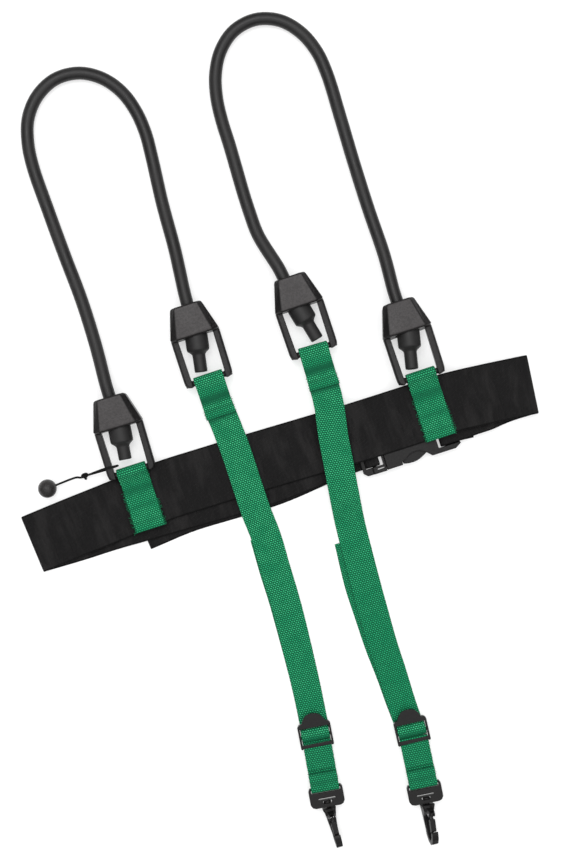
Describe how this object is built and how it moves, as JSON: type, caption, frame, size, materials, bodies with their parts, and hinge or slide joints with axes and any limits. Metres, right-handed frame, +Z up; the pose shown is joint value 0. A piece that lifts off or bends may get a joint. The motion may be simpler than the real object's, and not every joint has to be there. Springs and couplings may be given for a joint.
{
  "type": "swim resistance belt",
  "caption": "Waist belt with side-release buckle, rubber resistance tubes in plastic clips, and webbing straps with sliders and swivel snap hooks.",
  "frame": {"origin": "centre of the firm parts' plan, on the surface that the belt lies on", "axes": "+Y from the snap hooks towards the tubes, +X to the right seen from above, +Z up"},
  "size_m": [0.4416, 0.7107, 0.0272],
  "materials": {
    "belt_webbing": "black nylon webbing",
    "green_webbing": "emerald webbing",
    "tube_rubber": "matte black latex",
    "clip_plastic": "moulded black",
    "cord_black": "black cord",
    "pin_steel": "satin"
  },
  "bodies": {
    "waist_belt": {"belt_band": "belt_webbing", "belt_adjusting_tail": "belt_webbing", "buckle_female": "clip_plastic", "buckle_male": "clip_plastic", "left_belt_tab": "green_webbing", "right_belt_tab": "green_webbing"},
    "buckle_arm_lower": {"buckle_arm_lower": "clip_plastic"},
    "buckle_arm_upper": {"buckle_arm_upper": "clip_plastic"},
    "left_belt_clip": {"left_belt_clip": "clip_plastic"},
    "left_tube": {"left_tube": "tube_rubber", "left_belt_tube_end": "tube_rubber", "left_belt_tube_plug": "clip_plastic", "left_strap_tube_end": "tube_rubber", "left_strap_tube_plug": "clip_plastic"},
    "left_strap_clip": {"left_strap_clip": "clip_plastic"},
    "left_long_strap": {"left_long_strap": "green_webbing"},
    "left_slider": {"left_slider": "clip_plastic", "left_slider_wrap": "green_webbing", "left_strap_tail": "green_webbing", "left_hook_strap": "green_webbing"},
    "left_hook_base": {"left_hook_base": "clip_plastic"},
    "left_snap_hook": {"left_snap_hook": "clip_plastic", "left_gate_pin": "pin_steel"},
    "left_hook_gate": {"left_hook_gate": "clip_plastic"},
    "right_belt_clip": {"right_belt_clip": "clip_plastic"},
    "right_tube": {"right_tube": "tube_rubber", "right_belt_tube_end": "tube_rubber", "right_belt_tube_plug": "clip_plastic", "right_strap_tube_end": "tube_rubber", "right_strap_tube_plug": "clip_plastic"},
    "right_strap_clip": {"right_strap_clip": "clip_plastic"},
    "right_long_strap": {"right_long_strap": "green_webbing"},
    "right_slider": {"right_slider": "clip_plastic", "right_slider_wrap": "green_webbing", "right_strap_tail": "green_webbing", "right_hook_strap": "green_webbing"},
    "right_hook_base": {"right_hook_base": "clip_plastic"},
    "right_snap_hook": {"right_snap_hook": "clip_plastic", "right_gate_pin": "pin_steel"},
    "right_hook_gate": {"right_hook_gate": "clip_plastic"},
    "toggle": {"toggle_cord": "cord_black", "toggle_noose": "cord_black", "toggle_knot": "cord_black", "toggle_ball": "clip_plastic"}
  },
  "joints": [
    {"name": "buckle_arm_lower_squeeze", "type": "hinge", "parent": "waist_belt", "child": "buckle_arm_lower", "pos_m": [0.09134, 0.08597, 0.0055], "axis": [0, 0, 1], "range_deg": [0, 8], "stiffness_Nm_per_rad": 0.4, "springref_deg": -2.86},
    {"name": "buckle_arm_upper_squeeze", "type": "hinge", "parent": "waist_belt", "child": "buckle_arm_upper", "pos_m": [0.07781, 0.12889, 0.0055], "axis": [0, 0, -1], "range_deg": [0, 8], "stiffness_Nm_per_rad": 0.4, "springref_deg": -2.86},
    {"name": "left_belt_clip_pivot", "type": "hinge", "parent": "waist_belt", "child": "left_belt_clip", "pos_m": [-0.12532, 0.07622, 0.0125], "axis": [0.9573, 0.289, 0], "range_deg": [0, 90]},
    {"name": "left_tube_swivel", "type": "hinge", "parent": "left_belt_clip", "child": "left_tube", "pos_m": [-0.13514, 0.10877, 0.0125], "axis": [0.289, -0.9573, 0], "range_deg": [0, 50]},
    {"name": "left_strap_clip_swivel", "type": "hinge", "parent": "left_tube", "child": "left_strap_clip", "pos_m": [-0.07023, 0.18649, 0.0125], "axis": [0.2521, -0.9677, 0], "range_deg": [-50, 0]},
    {"name": "left_strap_pivot", "type": "hinge", "parent": "left_strap_clip", "child": "left_long_strap", "pos_m": [-0.05995, 0.15408, 0.0125], "axis": [0.9487, 0.3162, 0], "range_deg": [-90, 0]},
    {"name": "left_slider_slide", "type": "slide", "parent": "left_long_strap", "child": "left_slider", "axis": [-0.1908, 0.9816, 0], "range_m": [0, 0.02]},
    {"name": "left_hook_base_hinge", "type": "hinge", "parent": "left_slider", "child": "left_hook_base", "pos_m": [0.03846, -0.19303, 0.007], "axis": [-0.9829, -0.184, 0], "range_deg": [0, 90]},
    {"name": "left_hook_swivel", "type": "hinge", "parent": "left_hook_base", "child": "left_snap_hook", "pos_m": [0.03903, -0.19967, 0.007], "axis": [-0.2588, 0.9659, 0], "continuous": true},
    {"name": "left_hook_gate_hinge", "type": "hinge", "parent": "left_snap_hook", "child": "left_hook_gate", "pos_m": [0.04437, -0.21708, 0.01437], "axis": [0.9623, 0.2578, -0.0872], "range_deg": [0, 25], "stiffness_Nm_per_rad": 0.02, "springref_deg": -20.05},
    {"name": "right_belt_clip_pivot", "type": "hinge", "parent": "waist_belt", "child": "right_belt_clip", "pos_m": [0.1194, 0.15663, 0.0178], "axis": [0.9532, 0.3024, 0], "range_deg": [0, 90]},
    {"name": "right_tube_swivel", "type": "hinge", "parent": "right_belt_clip", "child": "right_tube", "pos_m": [0.10915, 0.18894, 0.01513], "axis": [-0.3014, 0.9503, -0.0785], "range_deg": [0, 50]},
    {"name": "right_strap_clip_swivel", "type": "hinge", "parent": "right_tube", "child": "right_strap_clip", "pos_m": [0.01803, 0.2107, 0.0125], "axis": [-0.454, 0.891, 0], "range_deg": [-50, 0]},
    {"name": "right_strap_pivot", "type": "hinge", "parent": "right_strap_clip", "child": "right_long_strap", "pos_m": [0.02887, 0.17847, 0.0125], "axis": [0.9596, 0.2815, 0], "range_deg": [-90, 0]},
    {"name": "right_slider_slide", "type": "slide", "parent": "right_long_strap", "child": "right_slider", "axis": [-0.225, 0.9744, 0], "range_m": [0, 0.02]},
    {"name": "right_hook_base_hinge", "type": "hinge", "parent": "right_slider", "child": "right_hook_base", "pos_m": [0.12201, -0.19008, 0.007], "axis": [-0.9803, -0.1977, 0], "range_deg": [0, 90]},
    {"name": "right_hook_swivel", "type": "hinge", "parent": "right_hook_base", "child": "right_snap_hook", "pos_m": [0.12378, -0.19647, 0.007], "axis": [-0.1426, 0.9898, 0], "continuous": true},
    {"name": "right_hook_gate_hinge", "type": "hinge", "parent": "right_snap_hook", "child": "right_hook_gate", "pos_m": [0.12815, -0.21422, 0.01418], "axis": [0.9604, 0.1384, -0.2419], "range_deg": [0, 25], "stiffness_Nm_per_rad": 0.02, "springref_deg": -20.05},
    {"name": "toggle_lift", "type": "hinge", "parent": "left_belt_clip", "child": "toggle", "pos_m": [-0.14325, 0.07853, 0.0125], "axis": [-0.289, 0.9573, 0], "range_deg": [0, 80]}
  ],
  "couplings": [
    {"joint": "left_strap_clip_swivel", "follows": "left_tube_swivel", "ratio": -1},
    {"joint": "left_strap_pivot", "follows": "left_belt_clip_pivot", "ratio": -1},
    {"joint": "right_strap_clip_swivel", "follows": "right_tube_swivel", "ratio": -1},
    {"joint": "right_strap_pivot", "follows": "right_belt_clip_pivot", "ratio": -1}
  ]
}
